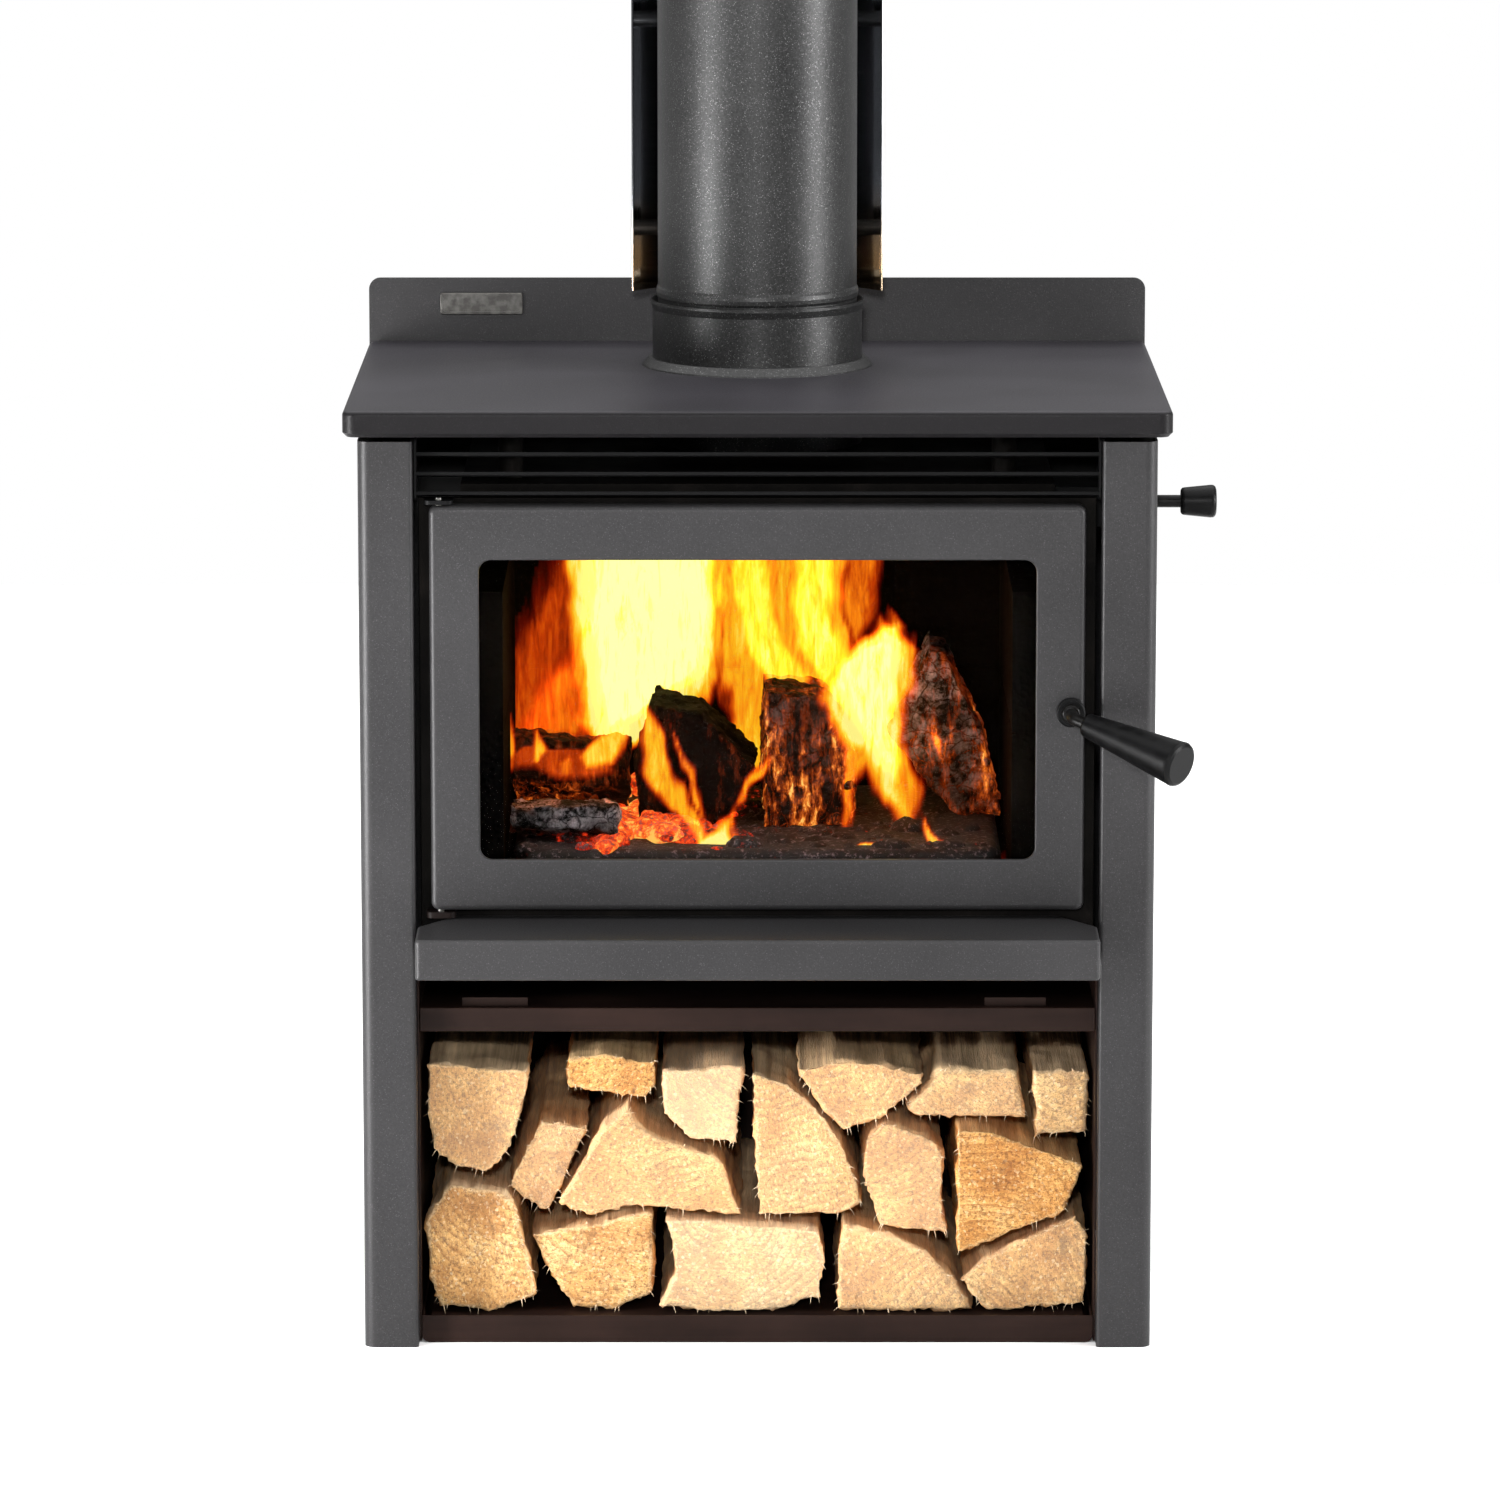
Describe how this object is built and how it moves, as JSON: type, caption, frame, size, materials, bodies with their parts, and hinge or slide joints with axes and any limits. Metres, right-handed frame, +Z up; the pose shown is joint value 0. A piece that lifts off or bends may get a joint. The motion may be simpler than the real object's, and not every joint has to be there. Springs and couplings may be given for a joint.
{
  "type": "wood burning stove",
  "caption": "Free-standing steel wood stove on an open log store, with a hinged glass door, turning latch handle, air control rod, ash shelf, top flue and curved flue shield.",
  "frame": {"origin": "on the floor under the stove's centre plane, on the underside of the log store's floor pan, 175 mm behind the front face of the side panels", "axes": "+Z up along the flue, -Y out of the front of the stove through the door, +X towards the side with the door handle and the air control"},
  "size_m": [0.638, 0.5099, 1.15],
  "materials": {
    "charcoal_paint": "satin metallic charcoal stove paint",
    "cooktop_paint": "matt dark stove paint",
    "flue_paint": "satin metallic charcoal stove paint",
    "black_sheet": "satin black",
    "firebox_steel": "heat-blackened steel",
    "galvanised_sheet": "dull zinc",
    "mirror_steel": "mirror polish",
    "fasteners": "blackened zinc",
    "badge_metal": "polished, blank",
    "firebrick": "rough, sooty",
    "ceramic_glass": "clear heat-resisting glass",
    "seal_rope": "woven glass-fibre rope",
    "handle_metal": "satin black",
    "handle_black": "satin black",
    "firewood": "rough split pine",
    "charred_wood": "charred",
    "embers": "glowing coals and ash"
  },
  "bodies": {
    "root": {"top_plate": "cooktop_paint", "plate_supports": "firebox_steel", "rear_upstand": "charcoal_paint", "badge_plate": "badge_metal", "side_panel_left": "charcoal_paint", "side_panel_right": "charcoal_paint", "rear_heat_shield": "galvanised_sheet", "casing_screws": "fasteners", "grille_slats": "black_sheet", "grille_brackets": "black_sheet", "firebox_shell": "firebox_steel", "firebox_supports": "firebox_steel", "firebrick_base": "firebrick", "firebrick_left": "firebrick", "firebrick_right": "firebrick", "firebrick_rear": "firebrick", "baffle_plate": "firebox_steel", "secondary_air_tubes": "firebox_steel", "air_wash_deflector": "firebox_steel", "air_inlet_box": "black_sheet", "rod_guide_bush": "fasteners", "flue_collar": "flue_paint", "flue_base_ring": "flue_paint", "flue_pipe": "flue_paint", "flue_shield": "mirror_steel", "shield_standoffs": "flue_paint", "ash_shelf": "charcoal_paint", "store_roof": "black_sheet", "store_base": "black_sheet", "store_back": "black_sheet", "store_liner_left": "black_sheet", "store_liner_right": "black_sheet", "hinge_brackets": "black_sheet", "hinge_pins": "fasteners", "latch_keeper": "firebox_steel", "ember_bed": "embers", "burning_logs": "charred_wood", "firewood_1": "firewood", "firewood_2": "firewood", "firewood_3": "firewood", "firewood_4": "firewood", "firewood_5": "firewood", "firewood_6": "firewood", "firewood_7": "firewood", "firewood_8": "firewood"},
    "door": {"door_frame": "charcoal_paint", "door_glass": "ceramic_glass", "glass_gasket": "seal_rope", "glass_retainers": "firebox_steel", "retainer_screws": "fasteners", "door_rope_seal": "seal_rope", "handle_bush": "black_sheet", "hinge_knuckles": "firebox_steel"},
    "handle": {"handle_stem": "handle_metal", "handle_grip": "handle_black", "latch_cam": "firebox_steel", "latch_nut": "fasteners"},
    "air_control": {"air_rod": "handle_metal", "air_knob": "handle_black", "air_slide_plate": "galvanised_sheet"}
  },
  "joints": [
    {"name": "door_hinge", "type": "hinge", "parent": "root", "child": "door", "pos_m": [-0.2315, -0.166, 0.4775], "axis": [0, 0, -1], "range_deg": [0, 110]},
    {"name": "handle_turn", "type": "hinge", "parent": "door", "child": "handle", "pos_m": [0.228, -0.178, 0.4755], "axis": [0, -1, 0], "range_deg": [0, 90]},
    {"name": "air_slide", "type": "slide", "parent": "root", "child": "air_control", "axis": [1, 0, 0], "range_m": [-0.015, 0.015]}
  ]
}
